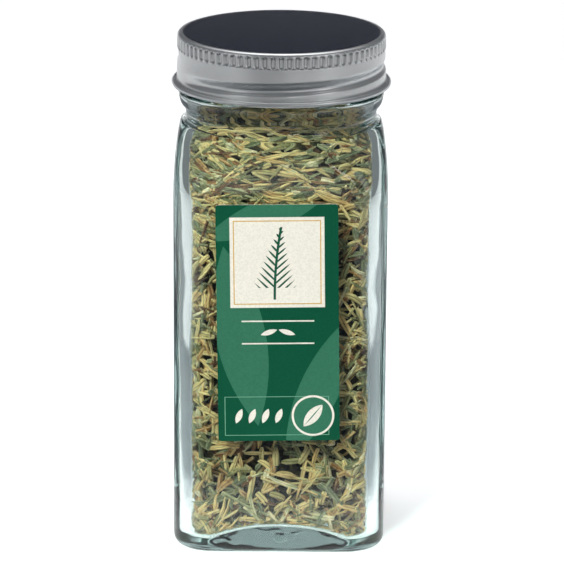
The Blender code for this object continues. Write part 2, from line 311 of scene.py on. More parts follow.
LEAD = 25.4 / 6 * MM
THREAD_Z_AT_LEFT = 101.65 * MM
THREAD_HEIGHT, THREAD_HALF_WIDTH = 1.2 * MM, 0.95 * MM
THREAD_FROM, THREAD_TO, THREAD_SINK = math.radians(141), math.radians(486), math.radians(24)
GLASS_COLUMNS = 176
CROWDING = 0.11


def square_reach(angle, half, corner):
    """How far a rounded square reaches from its centre at an angle."""
    across, up = sorted((abs(math.cos(angle)), abs(math.sin(angle))), reverse=True)
    core = half - corner
    if up * half <= core * across:
        return half / across
    along = core * (across + up)
    return along + math.sqrt(max(0.0, along * along - 2 * core * core + corner * corner))


def ring_angles():
    """Angles that crowd a little towards the four corners."""
    evenly = [i / GLASS_COLUMNS * math.tau for i in range(GLASS_COLUMNS)]
    return [a + CROWDING * math.sin(4 * a) for a in evenly]


def lathe(name, rings):
    """A mesh skinned over rings of equal count, first to last, with each end fanned to its centre."""
    mesh = bmesh.new()
    loops = [[mesh.verts.new(point) for point in ring] for ring in rings]
    for low, high in zip(loops, loops[1:]):
        for i in range(len(low)):
            j = (i + 1) % len(low)
            mesh.faces.new((low[i], low[j], high[j], high[i]))
    for loop in (loops[0], loops[-1]):
        centre = mesh.verts.new(sum((v.co for v in loop), Vector()) / len(loop))
        for i in range(len(loop)):
            mesh.faces.new((loop[i], loop[(i + 1) % len(loop)], centre))
    bmesh.ops.recalc_face_normals(mesh, faces=mesh.faces)
    data = bpy.data.meshes.new(name)
    mesh.to_mesh(data)
    mesh.free()
    data.shade_smooth()
    return data


def piece(name, data, finish, body, slot, *nodes):
    """Puts a mesh into the scene as a finished piece that rides on a body and stands for CAD nodes."""
    obj = bpy.data.objects.new(name, data)
    bpy.context.scene.collection.objects.link(obj)
    data.materials.clear()
    data.materials.append(finish.material)
    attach(obj, body)
    if nodes:
        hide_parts(*nodes)


def square_ring(half, corner, z):
    """A rounded square at height z. With a corner as large as half, it is a circle."""
    points = []
    for angle in ring_angles():
        reach = square_reach(angle, half, min(corner, half))
        points.append(Vector((reach * math.cos(angle), reach * math.sin(angle), z)))
    return points


def shoulder_rings(half_low, half_high, corner_low, z_low, z_high, steps):
    """Rings that turn the square body into the round neck. The corners lean in before the sides do."""
    rings = []
    for i in range(steps + 1):
        t = i / steps
        side = half_low + (half_high - half_low) * (1 - math.cos(t * math.pi / 2)) ** 1.2
        corner = corner_low + (side - corner_low) * (t * t * (3 - 2 * t))
        rings.append(square_ring(side, corner, z_low + (z_high - z_low) * math.sin(t * math.pi / 2)))
    return rings


def floor_height(x, y):
    return max(FLOOR_CORNER_Z, FLOOR_CENTRE_Z - (x * x + y * y) / (2 * FLOOR_BOW_R))


def cavity_rings(inset, top_z):
    """The space inside the glass, from top_z down to the middle of its floor, shrunk by inset."""
    half, corner = BODY_HALF - WALL - inset, CORNER_R - INNER_CORNER_TRIM
    bore, heel, lift = BORE_R - inset, FLOOR_HEEL_R, FLOOR_CORNER_Z + inset
    rings = [square_ring(bore, bore, z) for z in np.linspace(top_z, BORE_FOOT_Z, 12)]
    rings += reversed(shoulder_rings(half, bore, corner, SHOULDER_Z - 1 * MM, INNER_SHOULDER_TOP_Z, 20))
    wall_foot = lift + heel + 8 * MM
    rings += [square_ring(half, corner, z) for z in np.linspace(SHOULDER_Z - 2 * MM, wall_foot, 30)]
    floor_rings = []
    for i in range(9):
        turn = i / 8 * math.pi / 2
        side = half - heel * (1 - math.cos(turn))
        floor_rings.append(square_ring(side, corner, lift + heel * (1 - math.sin(turn))))
    flat = half - heel
    for share in (0.94, 0.85, 0.75, 0.62, 0.48, 0.34, 0.2, 0.1):
        floor_rings.append(square_ring(flat * share, flat * (1 - 0.6 * share) * share, lift))
    for ring in floor_rings:
        for point in ring:
            point.z += floor_height(point.x, point.y) - FLOOR_CORNER_Z
    return rings + floor_rings


def smooth_profile(points, steps):
    """The points of an outline with steps - 1 more between each two, on one smooth curve."""
    out = []
    last = len(points) - 1
    for i in range(last):
        before, first, second, after = [Vector(points[max(0, min(last, i + k))]) for k in (-1, 0, 1, 2)]
        for j in range(steps):
            t = j / steps
            square = (2 * before - 5 * first + 4 * second - after) * t ** 2
            cube = (3 * first - before - 3 * second + after) * t ** 3
            out.append(0.5 * (2 * first + (second - before) * t + square + cube))
    return out + [Vector(points[-1])]


def glass_thread(angle, z):
    """How far the thread stands out of the neck at that place."""
    best = 0.0
    for turn in (angle % math.tau, angle % math.tau + math.tau):
        sunk = min(1.0, (turn - THREAD_FROM) / THREAD_SINK, (THREAD_TO - turn) / THREAD_SINK)
        offset = abs(z - THREAD_Z_AT_LEFT - LEAD * (turn - math.pi) / math.tau) / THREAD_HALF_WIDTH
        if sunk > 0 and offset < 1:
            best = max(best, THREAD_HEIGHT * sunk * min(1.0, 1.6 * math.cos(offset * math.pi / 2)))
    return best


def make_glass():
    """The whole jar as one closed skin, from the middle of its underside up, over the rim and down inside."""
    foot_half = BODY_HALF - FOOT_IN
    hollow, hollow_corner = foot_half - FOOT_WIDTH, CORNER_R - 0.5 * FOOT_WIDTH
    outer = []
    for share in (0.1, 0.25, 0.4, 0.55, 0.7, 0.82, 0.91, 0.97):
        outer.append(square_ring(hollow * share, hollow_corner * share, FOOT_HOLLOW * (1 - share * share)))
    for i in range(7):
        across = i / 6
        corner = hollow_corner + across * 0.5 * FOOT_WIDTH
        outer.append(square_ring(hollow + FOOT_WIDTH * across, corner, FOOT_ARCH * (2 * across - 1) ** 4))
    for i in range(1, 13):
        turn = i / 12 * math.pi / 2
        z = FOOT_ARCH + HEEL_R * (1 - math.cos(turn))
        outer.append(square_ring(foot_half + FOOT_IN * math.sin(turn), CORNER_R, z))
    outer += [square_ring(BODY_HALF, CORNER_R, z) for z in np.linspace(6.5 * MM, 76.5 * MM, 12)]
    outer += shoulder_rings(BODY_HALF, SHOULDER_TOP_HALF, CORNER_R, SHOULDER_Z, SHOULDER_TOP_Z, 26)
    for radius, z in smooth_profile(NECK_PROFILE, 4)[1:]:
        outer.append(square_ring(radius, radius, z))
    for z in np.arange(LAND_FOOT_Z, RIM_Z - 0.7 * MM, LAND_STEP):
        ring = square_ring(LAND_R, LAND_R, z)
        for point in ring:
            angle = math.atan2(point.y, point.x)
            swell = 1 + glass_thread(angle, z) / LAND_R
            point.x *= swell
            point.y *= swell
        outer.append(ring)
    for degrees in range(0, 91, 18):
        turn = math.radians(degrees)
        radius = LAND_R - RIM_R * (1 - math.cos(turn))
        outer.append(square_ring(radius, radius, RIM_Z - RIM_R * (1 - math.sin(turn))))
    for degrees in range(90, -1, -18):
        turn = math.radians(degrees)
        radius = BORE_R + RIM_R * (1 - math.cos(turn))
        outer.append(square_ring(radius, radius, RIM_Z - RIM_R * (1 - math.sin(turn))))
    inner = cavity_rings(0.0, RIM_Z - 1.2 * MM)
    for ring in inner:
        for point in ring:
            ripple = noise.noise(point * 90.0) * 0.22 * MM + noise.noise(point * 260.0) * 0.05 * MM
            inwards = Vector((point.x, point.y, 0)).normalized() * min(1.0, point.xy.length / (8 * MM))
            point -= inwards * (ripple + 0.05 * MM)
    return lathe("glass_body", outer + inner)


glass = Finish(
    "clear_glass", Base_Color=tint("f4fbf9"), Roughness=0.0, IOR=1.5, Transmission_Weight=1.0,
)
glass_spot = glass.position().scaled(1 / MM)
near_foot = 1 - glass_spot.axis("Z").smooth(4.0, 7.0)
mould_marks = glass.noise(glass_spot * (1.0, 1.0, 2.2), 0.3, 1.0)
glass.bump(mould_marks * near_foot, 0.12 * MM, 0.6)
lamp_ray = glass.add("ShaderNodeLightPath", {}, {}, "Is Shadow Ray")
lamp_glass = glass.add("ShaderNodeBsdfTransparent", {}, {"Color": tint("eef8f5")})
glass_shader = Value(glass, glass.shader.outputs["BSDF"])
both = glass.add("ShaderNodeMixShader", {}, {0: lamp_ray, 1: glass_shader, 2: lamp_glass})
absorbed = glass.add("ShaderNodeVolumeAbsorption", {}, {"Color": tint("c0d2d0"), "Density": 55.0})
glass_out = glass.tree.nodes["Material Output"].inputs
glass.tree.links.new(both.socket, glass_out["Surface"])
glass.tree.links.new(absorbed.socket, glass_out["Volume"])
piece("glass_body", make_glass(), glass, "jar", "jar_glass", "glass_jar")


# ---------------------------------------------------------------- front label
# Varnished paper, printed in two greens and stuck to the flat front of the glass. A cream panel holds a
# drawn sprig, and a thin frame and a round badge fill the foot. The cut edge of the paper shows pale.

label_low, label_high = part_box("front_label")
LABEL_WIDTH, LABEL_HEIGHT, LABEL_TILT = 25.6, 51.6, math.radians(0.9)
PRINT_EDGE = 0.05
MIDDLE_X = LABEL_WIDTH / 2
PANEL_LEFT, PANEL_RIGHT, PANEL_FOOT, PANEL_TOP = 2.9, LABEL_WIDTH - 2.9, 29.3, 48.9
FRAME_IN, FRAME_LINE = 0.7, 0.22
SPRIG_FOOT_Z, SPRIG_HEIGHT, NEEDLE_PITCH = 31.0, 15.8, 1.55
RULE_LEFT, RULE_RIGHT = 5.2, LABEL_WIDTH - 5.2
BADGE_X, BADGE_Z = LABEL_WIDTH - 5.6, 5.5

paper = Finish("printed_paper", Roughness=0.5, Specular_IOR_Level=0.12)
spot = paper.position().scaled(1 / MM)
from_centre = spot - tuple((label_low + label_high) / 2 / MM)
across, up = from_centre.axis("X"), from_centre.axis("Z")
# x and z are places on the label, in millimetres from its lower left corner.
x = across * math.cos(LABEL_TILT) + up * math.sin(LABEL_TILT) + LABEL_WIDTH / 2
z = up * math.cos(LABEL_TILT) - across * math.sin(LABEL_TILT) + LABEL_HEIGHT / 2


def within(value, middle, half, soft=PRINT_EDGE):
    """1 where a value lies within half of middle, and 0 elsewhere."""
    return (value - middle).math("ABSOLUTE").smooth(half + soft, half - soft)


def panel(left, right, bottom, top):
    between_sides = within(x, (left + right) / 2, (right - left) / 2)
    return between_sides * within(z, (bottom + top) / 2, (top - bottom) / 2)


def outline(left, right, bottom, top, line):
    inside = panel(left + line, right - line, bottom + line, top - line)
    return panel(left, right, bottom, top) * (1 - inside)


def disc(centre_x, centre_z, radius):
    across, up = x - centre_x, z - centre_z
    return (across * across + up * up).math("SQRT").smooth(radius + PRINT_EDGE, radius - PRINT_EDGE)


def leaf_print(centre_x, centre_z, length, width, degrees):
    """A pointed oval: the overlap of two discs, turned by an angle."""
    turn = math.radians(degrees)
    across, up = x - centre_x, z - centre_z
    along = across * math.cos(turn) + up * math.sin(turn)
    aside = (up * math.cos(turn) - across * math.sin(turn)).math("ABSOLUTE")
    radius = (length * length + width * width) / (4 * width)
    middle = aside + (radius - width / 2)
    return (along * along + middle * middle).math("SQRT").smooth(radius + PRINT_EDGE, radius - PRINT_EDGE)


up_sprig = (z - SPRIG_FOOT_Z) * (1 / SPRIG_HEIGHT)
stem_x = x - MIDDLE_X - (up_sprig * up_sprig * 1.5 - 0.6)
side = stem_x.math("ABSOLUTE")
on_sprig = up_sprig.smooth(0.0, 0.004) * up_sprig.smooth(1.0, 0.996)
stem_ink = side.smooth(0.30, 0.22) * on_sprig
shifted = z - side * 0.95 + stem_x.math("SIGN") * (NEEDLE_PITCH / 4)
step = shifted.math("MODULO", NEEDLE_PITCH) - NEEDLE_PITCH / 2
needle_length = (1.06 - up_sprig) * 5.2
share_out = side / needle_length
belly = (1 - share_out) * (share_out + 0.35) * 0.62
needle = (belly - step.math("ABSOLUTE")).smooth(-PRINT_EDGE, PRINT_EDGE)
needle_ink = needle * on_sprig * up_sprig.smooth(0.16, 0.17)
sprig_ink = stem_ink.math("MAXIMUM", needle_ink)

deep_green, mid_green = tint("094b34"), tint("326c53")
cream, ink_green, gold = tint("dfdccf"), tint("124a33"), tint("c9a24a")
big_leaf = leaf_print(5.0, 23.0, 40.0, 10.5, 100.0)
big_leaf = big_leaf.math("MAXIMUM", leaf_print(21.5, 11.5, 36.0, 8.5, 66.0))
big_leaf = big_leaf.math("MAXIMUM", leaf_print(11.0, 49.5, 30.0, 7.0, 22.0))
fibre = paper.noise(spot, 3.0, 4.0)
colour = paper.mix(big_leaf, deep_green, mid_green)
colour = paper.mix(panel(PANEL_LEFT, PANEL_RIGHT, PANEL_FOOT, PANEL_TOP), colour, cream)
frame_sides = (PANEL_LEFT + FRAME_IN, PANEL_RIGHT - FRAME_IN, PANEL_FOOT + FRAME_IN, PANEL_TOP - FRAME_IN)
colour = paper.mix(outline(*frame_sides, FRAME_LINE), colour, gold)
colour = paper.mix(sprig_ink, colour, ink_green)
colour = paper.mix(panel(RULE_LEFT, RULE_RIGHT, 26.2, 26.5), colour, cream)
colour = paper.mix(leaf_print(MIDDLE_X - 1.9, 23.9, 3.6, 1.1, 18.0), colour, cream)
colour = paper.mix(leaf_print(MIDDLE_X + 1.9, 23.9, 3.6, 1.1, -18.0), colour, cream)
colour = paper.mix(panel(RULE_LEFT, RULE_RIGHT, 21.3, 21.6), colour, cream)
colour = paper.mix(outline(1.4, LABEL_WIDTH - 2.2, 1.2, 9.8, 0.14), colour, tint("6fa287"))
for number in range(4):
    colour = paper.mix(leaf_print(4.4 + 2.8 * number, 5.5, 3.4, 1.3, 68.0), colour, cream)
colour = paper.mix(disc(BADGE_X, BADGE_Z, 4.5), colour, cream)
colour = paper.mix(disc(BADGE_X, BADGE_Z, 4.05), colour, mid_green)
colour = paper.mix(leaf_print(BADGE_X, BADGE_Z, 6.2, 2.6, 50.0), colour, cream)
colour = paper.mix(leaf_print(BADGE_X, BADGE_Z, 5.6, 0.24, 50.0), colour, mid_green)
facing = paper.add("ShaderNodeNewGeometry", {}, {}, "Normal").axis("Y")
colour = paper.mix(facing.smooth(-0.7, -0.5), colour, tint("d9dccb"))
paper.set("Base Color", paper.mix(fibre.smooth(0.35, 0.7), colour, tint("f0f1f0"), "MULTIPLY"))
paper.bump(paper.noise(spot, 9.0, 3.0), 0.004 * MM, 0.6)


def dress_node(name, finish):
    """Gives its material to a CAD node that is shown as it is."""
    data = frame["nodes"][name].data
    data.materials.clear()
    data.materials.append(finish.material)


dress_node("front_label", paper)


# ---------------------------------------------------------------- settled herb
# Thousands of dried rosemary leaves, stripped, cut and poured in. Each is a stiff needle whose two edges
# have rolled under, so it shows two ridges with a furrow between them. They lie flat against the glass,
# three deep, over a core painted near-black as painted shade, where no light reaches. Bits of brown stem lie
# among them.

# The points round a leaf: across, up, and how near to the top of a ridge.
LEAF_RING = (
    (-0.5, 0.0, 0.75), (-0.3, 0.33, 1.0), (0.0, 0.13, 0.1),
    (0.3, 0.33, 1.0), (0.5, 0.0, 0.75), (0.0, -0.32, 0.35),
)


def leaf_mesh(name, length, width, bend, twist, tips, steps=4):
    """One leaf along X, its face up. tips are how much of its width each end keeps."""
    rings, ridge, along = [], [], []
    for i in range(steps + 1):
        s = 2 * i / steps - 1
        tip = tips[0] if s < 0 else tips[1]
        size = 1 - (1 - tip) * abs(s) ** 3
        turn = twist * s
        ring = []
        for across, up, shade in LEAF_RING:
            across, up = across * width * size, up * width * 0.85 * (0.35 + 0.65 * size)
            y = across * math.cos(turn) - up * math.sin(turn) + bend * (s * s - 0.4)
            z = across * math.sin(turn) + up * math.cos(turn) - 0.25 * abs(bend) * (s * s - 0.4)
            ring.append(Vector((s * length / 2, y, z)))
            ridge.append(shade)
            along.append((s + 1) / 2)
        rings.append(ring)
    data = lathe(name, rings)
    for attribute, values in (("ridge", ridge + [0.3, 0.3]), ("along", along + [0.0, 1.0])):
        data.attributes.new(attribute, "FLOAT", "POINT").data.foreach_set("value", values)
    return data


LEAF_LENGTHS = (16.0, 14.0, 12.5, 11.0, 10.0, 9.0, 8.0, 7.0, 6.2, 5.4, 4.6, 3.8, 3.0, 2.2)
LONG_KINDS = 6


def leaf_kinds():
    """The shapes that the herb is made of, longest first: whole leaves, cut pieces and crumbs."""
    draw = random.Random(5)
    kinds = []
    for number, length in enumerate(LEAF_LENGTHS):
        bend = draw.uniform(0.02, 0.12) * length * draw.choice((-1, 1))
        twist = draw.uniform(-0.7, 0.7)
        if number < LONG_KINDS:
            width = draw.uniform(0.85, 1.15)
            tips = (draw.uniform(0.2, 0.5), draw.choice((0.35, 0.85)))
        else:
            width = draw.uniform(1.15, 1.55)
            tips = (draw.uniform(0.6, 0.95), draw.uniform(0.4, 0.95))
        kinds.append(leaf_mesh(f"leaf_kind_{number:02d}", length * MM, width * MM, bend * MM, twist, tips))
    return kinds


def modifier_tree(name, sockets):
    """An empty geometry tree with named inputs. Returns its Nodes and its inputs as Values."""
    tree = bpy.data.node_groups.new(name, "GeometryNodeTree")
    tree.interface.new_socket("Geometry", in_out="INPUT", socket_type="NodeSocketGeometry")
    tree.interface.new_socket("Geometry", in_out="OUTPUT", socket_type="NodeSocketGeometry")
    for label, kind in sockets.items():
        tree.interface.new_socket(label, in_out="INPUT", socket_type="NodeSocket" + kind)
    nodes = Nodes(tree)
    group = tree.nodes.new("NodeGroupInput")
    return nodes, {socket.name: Value(nodes, socket) for socket in group.outputs if socket.name}


def grown(name, tree, base, given):
    """Runs a geometry tree on a base mesh and returns what it makes as a plain mesh."""
    obj = bpy.data.objects.new(name, base)
    bpy.context.scene.collection.objects.link(obj)
    modifier = obj.modifiers.new(tree.name, "NODES")
    modifier.node_group = tree
    for item in tree.interface.items_tree:
        if item.in_out == "INPUT" and item.name in given:
            modifier[item.identifier] = given[item.name]
    graph = bpy.context.evaluated_depsgraph_get()
    made = bpy.data.meshes.new_from_object(obj.evaluated_get(graph), depsgraph=graph)
    made.name = name
    bpy.data.objects.remove(obj)
    return made


def finish_tree(nodes, geometry):
    out = nodes.tree.nodes.new("NodeGroupOutput")
    nodes.tree.links.new(geometry.socket, out.inputs[0])


nodes, given = modifier_tree("scatter_leaves", {
    "Skin": "Object", "Kinds": "Collection", "First Kind": "Float", "Last Kind": "Float",
    "First Kind at Top": "Float", "Last Kind at Top": "Float", "Leaves per Square Metre": "Float",
    "Depth": "Float", "Tilt": "Float",
    "Level from Z": "Float", "Level to Z": "Float", "Seed": "Int", "Material": "Material",
})
seed = given["Seed"]


def drawn(low, high, number):
    """A random number between two others, drawn again for each leaf."""
    inputs = {2: low, 3: high, "Seed": seed + number}
    return nodes.add("FunctionNodeRandomValue", {"data_type": "FLOAT"}, inputs, 1)


spread = {"Mesh": given["Geometry"], "Density": given["Leaves per Square Metre"], "Seed": seed}
scattered = nodes.add("GeometryNodeDistributePointsOnFaces", {}, spread)
facing_out = Value(nodes, scattered.socket.node.outputs["Normal"])
place = nodes.add("GeometryNodeInputPosition", {}, {})
inwards = facing_out.scaled(given["Depth"] * drawn(0.75, 1.3, 7) * -1.0)
sunk = nodes.add("GeometryNodeSetPosition", {}, {"Geometry": scattered, "Offset": inwards})
level = facing_out.math("CROSS_PRODUCT", (0.01, 0.05, 1.0)).math("NORMALIZE")
upwards = facing_out.math("CROSS_PRODUCT", level)
near_top = place.axis("Z").smooth(given["Level from Z"], given["Level to Z"])
slope = drawn(-1.0, 1.0, 1) * (math.pi / 2) * (1 - near_top * 0.6)
lie = level.scaled(slope.math("COSINE")) + upwards.scaled(slope.math("SINE"))
axes = {"primary_axis": "Z", "secondary_axis": "X"}
lying = nodes.add("FunctionNodeAxesToRotation", axes, {0: facing_out, 1: lie})
tip_turn = nodes.add("ShaderNodeCombineXYZ", {}, {
    "X": drawn(-1.1, 1.1, 2), "Y": given["Tilt"] * drawn(-1.0, 1.0, 3),
})
spin = nodes.add("FunctionNodeEulerToRotation", {}, {0: tip_turn})
laid = nodes.add("FunctionNodeRotateRotation", {"rotation_space": "LOCAL"}, {0: lying, 1: spin})
kinds = nodes.add("GeometryNodeCollectionInfo", {}, {0: given["Kinds"], 1: True, 2: True})
first_kind = given["First Kind"] + (given["First Kind at Top"] - given["First Kind"]) * near_top
last_kind = given["Last Kind"] + (given["Last Kind at Top"] - given["Last Kind"]) * near_top
kind = first_kind + (last_kind - first_kind) * drawn(0.0, 1.0, 4)
instances = nodes.add("GeometryNodeInstanceOnPoints", {}, {
    "Points": sunk, "Instance": kinds, "Pick Instance": True, "Instance Index": kind, "Rotation": laid,
    "Scale": drawn(0.8, 1.1, 5),
})
toned = nodes.add("GeometryNodeStoreNamedAttribute", {"data_type": "FLOAT", "domain": "INSTANCE"}, {
    "Geometry": instances, "Name": "tone", "Value": drawn(0.0, 1.0, 6),
})
realized = nodes.add("GeometryNodeRealizeInstances", {}, {0: toned})
skin = nodes.add("GeometryNodeObjectInfo", {}, {0: given["Skin"]}, "Geometry")
nearest = {"Mesh": skin, "Value": place}
skin_place = nodes.add("GeometryNodeSampleNearestSurface", {"data_type": "FLOAT_VECTOR"}, nearest)
normal = nodes.add("GeometryNodeInputNormal", {}, {})
nearest = {"Mesh": skin, "Value": normal}
skin_normal = nodes.add("GeometryNodeSampleNearestSurface", {"data_type": "FLOAT_VECTOR"}, nearest)
away = {0: place - skin_place, 1: skin_normal}
outside = nodes.add("ShaderNodeVectorMath", {"operation": "DOT_PRODUCT"}, away, "Value")
# How far each point of a leaf lies below the skin, which the leaf material uses for painted shade.
measured = nodes.add("GeometryNodeStoreNamedAttribute", {"data_type": "FLOAT", "domain": "POINT"}, {
    "Geometry": realized, "Name": "depth", "Value": outside * (-1 / MM),
})
compared = {"data_type": "FLOAT", "operation": "GREATER_THAN"}
too_far = nodes.add("FunctionNodeCompare", compared, {0: outside, 1: 0.0})
pressed = nodes.add("GeometryNodeSetPosition", {}, {
    "Geometry": measured, "Selection": too_far, "Position": skin_place + skin_normal.scaled(outside * 0.08),
})
coated = nodes.add("GeometryNodeSetMaterial", {}, {"Geometry": pressed, "Material": given["Material"]})
finish_tree(nodes, coated)
scatter_leaves = nodes.tree


def herb_finish(name, tones):
    """Dry leaf: each takes its own tone, paler on its rolled edges with a painted highlight, darker in its
    furrow with painted shade, and dull and dark deep in the heap with painted shade.
    """
    herb = Finish(name, Specular_IOR_Level=0.3)
    tone = herb.add("ShaderNodeAttribute", {"attribute_name": "tone"}, {}, "Fac")
    ridge = herb.add("ShaderNodeAttribute", {"attribute_name": "ridge"}, {}, "Fac")
    depth = herb.add("ShaderNodeAttribute", {"attribute_name": "depth"}, {}, "Fac")
    along = herb.add("ShaderNodeAttribute", {"attribute_name": "along"}, {}, "Fac")
    spot = herb.position().scaled(1 / MM)
    blotch = herb.noise(spot, 0.45, 3.0)
    fine = herb.noise(spot, 2.6, 3.0)
    stops = [(place, tint(code)) for place, code in tones]
    base = herb.add("ShaderNodeValToRGB", {"stops": stops}, {0: tone + (blotch - 0.5) * 0.28}, "Color")
    # Painted shade: the furrow between the rolled edges is darkened.
    furrow = herb.mix(0.62, base, tint("2b2618"))
    colour = herb.mix(ridge.smooth(0.05, 0.55), furrow, base)
    # Painted highlight: patches on the tops of the ridges are lightened.
    pale = herb.mix(0.45, base, tint("e3dcb4"))
    colour = herb.mix(ridge.smooth(0.7, 1.0) * fine.smooth(0.42, 0.72) * 0.75, colour, pale)
    cut_end = (along - 0.5).math("ABSOLUTE").smooth(0.46, 0.5) * 0.45
    colour = herb.mix(cut_end, colour, tint("d8caa0"))
    # Painted shade: the deeper a leaf lies below the skin of the heap, the nearer its colour goes to
    # near-black.
    herb.set("Base Color", herb.mix(depth.smooth(0.1, 1.7) * 0.96, colour, tint("15110a")))
    herb.set("Roughness", fine * 0.3 + 0.58)
    herb.bump(fine + blotch * 0.6, 0.12 * MM, 0.7)
    return herb


LEAF_TONES = (
    (0.00, "5f3a24"), (0.08, "a36f44"), (0.16, "e0b274"), (0.32, "fbd896"), (0.48, "d8bb80"),
    (0.64, "92875a"), (0.80, "6d7052"), (0.92, "b5ac80"), (1.00, "ffe4b8"),
)
dried_leaf = herb_finish("dried_leaf", LEAF_TONES)

SKIN_INSET = 0.25 * MM
HERB_TOP_Z = 98.0 * MM
LEVEL_FROM_Z, LEVEL_TO_Z = 68 * MM, 80 * MM
CORE_INSET, CORE_TOP_Z, CORE_LUMPS, CORE_SEED = 3.6 * MM, 96.0 * MM, 0.7 * MM, 5
kinds_folder = bpy.data.collections.new("leaf_kinds")
for mesh in leaf_kinds():
    kinds_folder.objects.link(bpy.data.objects.new(mesh.name, mesh))
skin_mesh = lathe("herb_skin", cavity_rings(SKIN_INSET, HERB_TOP_Z))
skin_object = bpy.data.objects.new("herb_skin", skin_mesh)
bpy.context.scene.collection.objects.link(skin_object)


def skin_side(number):
    """The quarter of the skin that faces one side, counted from +X."""
    mesh = bmesh.new()
    mesh.from_mesh(skin_mesh)
    centre = number * math.pi / 2
    others = []
    for face in mesh.faces:
        middle = face.calc_center_median()
        away = (math.atan2(middle.y, middle.x) - centre + math.pi) % math.tau - math.pi
        capped = middle.z > HERB_TOP_Z - 0.1 * MM
        if abs(away) > math.pi / 4 or capped:
            others.append(face)
    bmesh.ops.delete(mesh, geom=others, context="FACES")
    data = bpy.data.meshes.new("skin_side")
    mesh.to_mesh(data)
    mesh.free()
    return data


# Each layer's depth, tilt and leaves per square metre, then its first and last kind of leaf, low down and at
# the top. The last layer is crumbs.
LAYERS = (
    (0.5 * MM, 0.15, 115000.0, (3.0, 13.0), (0.0, 7.0)),
    (1.3 * MM, 0.30, 170000.0, (3.0, 13.0), (0.0, 8.0)),
    (2.2 * MM, 0.40, 140000.0, (2.0, 12.0), (0.0, 9.0)),
    (0.45 * MM, 0.5, 150000.0, (9.0, 13.9), (9.0, 13.9)),
)


def scattered_side(number, layer, seed):
    depth, tilt, density, (first, last), (first_at_top, last_at_top) = layer
    return grown("leaves", scatter_leaves, skin_side(number), {
        "Skin": skin_object, "Kinds": kinds_folder, "First Kind": first, "Last Kind": last,
        "First Kind at Top": first_at_top, "Last Kind at Top": last_at_top,
        "Leaves per Square Metre": density, "Depth": depth, "Tilt": tilt,
        "Level from Z": LEVEL_FROM_Z, "Level to Z": LEVEL_TO_Z, "Seed": seed, "Material": dried_leaf.material,
    })


def joined(name, meshes):
    """Several meshes as one, with their attributes kept."""
    mesh = bmesh.new()
    for data in meshes:
        mesh.from_mesh(data)
    whole = bpy.data.meshes.new(name)
    mesh.to_mesh(whole)
    mesh.free()
    whole.shade_smooth()
    return whole


for number, quarter in enumerate(("right", "back", "left", "front")):
    layers = [scattered_side(number, layer, 100 * number + 10 * i) for i, layer in enumerate(LAYERS)]
    piece(f"herb_{quarter}", joined(f"herb_{quarter}", layers), dried_leaf, "jar", "herb_fill")
bpy.data.objects.remove(skin_object)
for obj in list(kinds_folder.objects):
    bpy.data.objects.remove(obj)
bpy.data.collections.remove(kinds_folder)

# Painted shade: the core is coloured near-black and dark brown in blotches, standing for herb that no light
# reaches.
core_shade_finish = Finish("shaded_herb", Roughness=0.95)
core_spot = core_shade_finish.position().scaled(1 / MM)
core_share = core_shade_finish.noise(core_spot, 0.9, 4.0).smooth(0.35, 0.7)
core_shade_finish.set("Base Color", core_shade_finish.mix(core_share, tint("1c160d"), tint("4a4029")))
core_shade_finish.bump(core_shade_finish.noise(core_spot, 1.3, 4.0), 0.8 * MM)
core_rings = cavity_rings(CORE_INSET, CORE_TOP_Z)
# Vector noise takes its offsets from a seed, and without this one they would differ from run to run.
noise.seed_set(CORE_SEED)
for ring in core_rings:
    for point in ring:
        point += CORE_LUMPS * noise.noise_vector(point * 350.0)
piece("herb_core", lathe("herb_core", core_rings), core_shade_finish, "jar", "herb_fill", "rosemary_fill")


# ---------------------------------------------------------------- loose leaves
# The top layer in the neck lies less tightly: single leaves and bits of stem, as they settled when the lid
# went on. Each lies along the line of the plain blade that it stands for.

stem_finish = herb_finish("dried_stem", ((0.0, "5a3d28"), (0.5, "8a6340"), (1.0, "b08a5c")))


def along_node(name, data):
    """A leaf mesh moved, turned and stretched to lie where a CAD blade lies."""
    points = np.array([v.co for v in frame["nodes"][name].data.vertices])
    middle = (points.min(0) + points.max(0)) / 2
    axes = np.linalg.svd(points - points.mean(0), full_matrices=False)[2]
    length = np.ptp(points @ axes[0])
    turned = Matrix(axes.tolist()).transposed().to_4x4()
    if turned.determinant() < 0:
        turned = turned @ Matrix.Diagonal((1, 1, -1, 1))
    own = np.ptp([v.co.x for v in data.vertices])
    data.transform(Matrix.Translation(Vector(middle)) @ turned @ Matrix.Diagonal((length / own, 1, 1, 1)))
    return data


def toned_mesh(data, tone):
    """A mesh with its share of the way along the colour ramp, which the scatter gives to the others."""
    values = [tone] * len(data.vertices)
    data.attributes.new("tone", "FLOAT", "POINT").data.foreach_set("value", values)
    return data


def loose_piece(name, stem, finish, slot, width, tips):
    """One piece for all the CAD blades whose names start with stem."""
    draw = random.Random(stem)
    names = sorted(node for node in frame["nodes"] if node.startswith(stem))
    meshes = []
    for node in names:
        own_width = width * draw.uniform(0.9, 1.15)
        shape = leaf_mesh(node, 10 * MM, own_width, 0.0, draw.uniform(-0.4, 0.4), tips, 8)
        meshes.append(toned_mesh(along_node(node, shape), draw.random()))
    piece(name, joined(name, meshes), finish, "jar", slot, *names)


loose_piece("loose_leaves", "rosemary_leaf_", dried_leaf, "herb_leaf", 1.4 * MM, (0.45, 0.5))
loose_piece("loose_stem_bits", "stem_bit_", stem_finish, "herb_stem", 1.25 * MM, (0.95, 0.95))


# ---------------------------------------------------------------- lid liner
# A disc of white faced board, pushed up into the lid. The neck's rim presses a faint ring into it.

